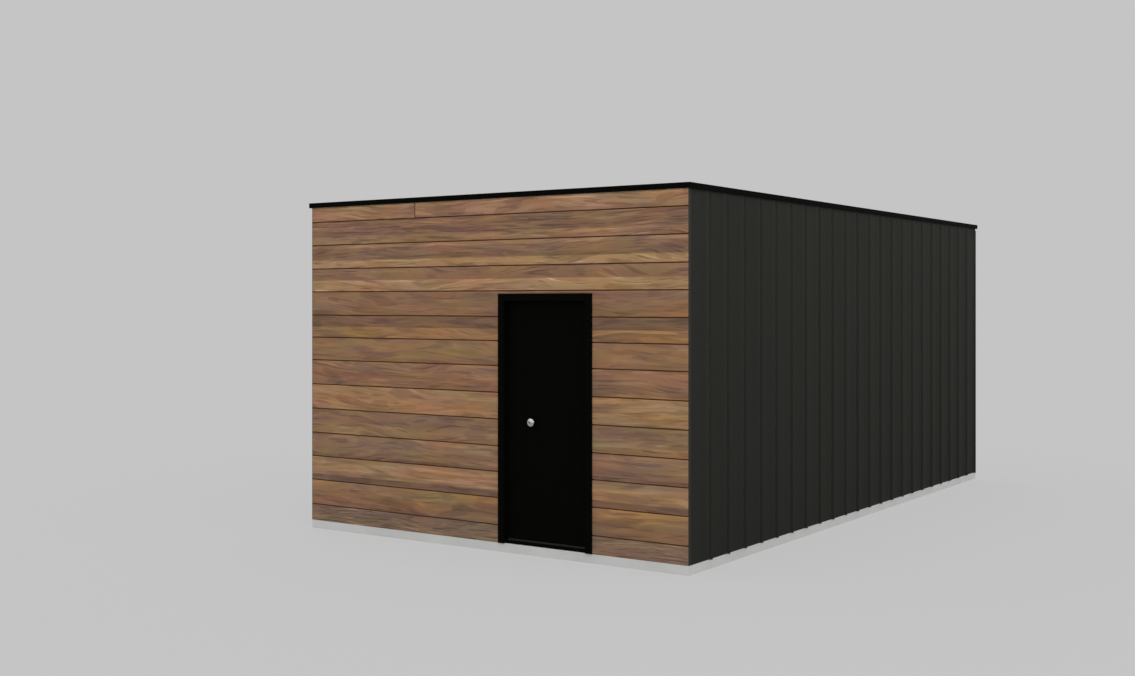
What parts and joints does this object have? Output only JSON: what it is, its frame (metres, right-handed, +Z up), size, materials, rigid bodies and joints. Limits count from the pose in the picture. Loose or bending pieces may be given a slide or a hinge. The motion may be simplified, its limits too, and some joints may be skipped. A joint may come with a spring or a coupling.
{
  "type": "modular home",
  "caption": "Flat-roofed one-room modular home with a timber-boarded front, standing-seam metal sides, and a hinged black door.",
  "frame": {"origin": "on the ground at the middle of the plinth's underside", "axes": "+X to the right as seen from the door side, +Y from the door side to the rear, +Z up"},
  "size_m": [4.05, 7.045, 3.02],
  "materials": {
    "concrete": "smooth precast concrete",
    "floor": "oiled floor boards",
    "wall_core": "framed and sheathed panel, hidden",
    "timber": "oiled walnut-brown boards",
    "charcoal_metal": "matt charcoal coating",
    "black_metal": "satin black coating",
    "lining": "matt white painted board",
    "membrane": "matt roofing membrane",
    "steel": "polished stainless steel"
  },
  "bodies": {
    "building": {"base_slab": "concrete", "floor_deck": "floor", "front_wall_left": "wall_core", "front_wall_right": "wall_core", "front_wall_over_door": "wall_core", "right_wall": "wall_core", "left_wall": "wall_core", "rear_wall": "wall_core", "front_boarding_left": "timber", "front_boarding_right": "timber", "front_boarding_over_door": "timber", "right_metal_cladding": "charcoal_metal", "left_metal_cladding": "charcoal_metal", "rear_metal_cladding": "charcoal_metal", "front_right_corner_trim": "charcoal_metal", "front_left_corner_trim": "charcoal_metal", "rear_right_corner_trim": "charcoal_metal", "rear_left_corner_trim": "charcoal_metal", "front_lining_left": "lining", "front_lining_right": "lining", "front_lining_over_door": "lining", "right_lining": "lining", "left_lining": "lining", "rear_lining": "lining", "ceiling_lining": "lining", "roof_panel": "wall_core", "roof_membrane": "membrane", "roof_outlet": "steel", "front_coping": "black_metal", "rear_coping": "black_metal", "right_coping": "black_metal", "left_coping": "black_metal", "door_jamb_left": "black_metal", "door_jamb_right": "black_metal", "door_head": "black_metal", "door_threshold": "black_metal", "hinge_frame_plates": "steel", "hinge_pins": "steel"},
    "door": {"door_leaf": "black_metal", "hinge_leaf_plates": "steel", "outer_knob": "steel", "inner_knob": "steel"}
  },
  "joints": [
    {"name": "door_hinge", "type": "hinge", "parent": "building", "child": "door", "pos_m": [1.0695, -3.393, 0.115], "axis": [0, 0, -1], "range_deg": [0, 105]}
  ]
}
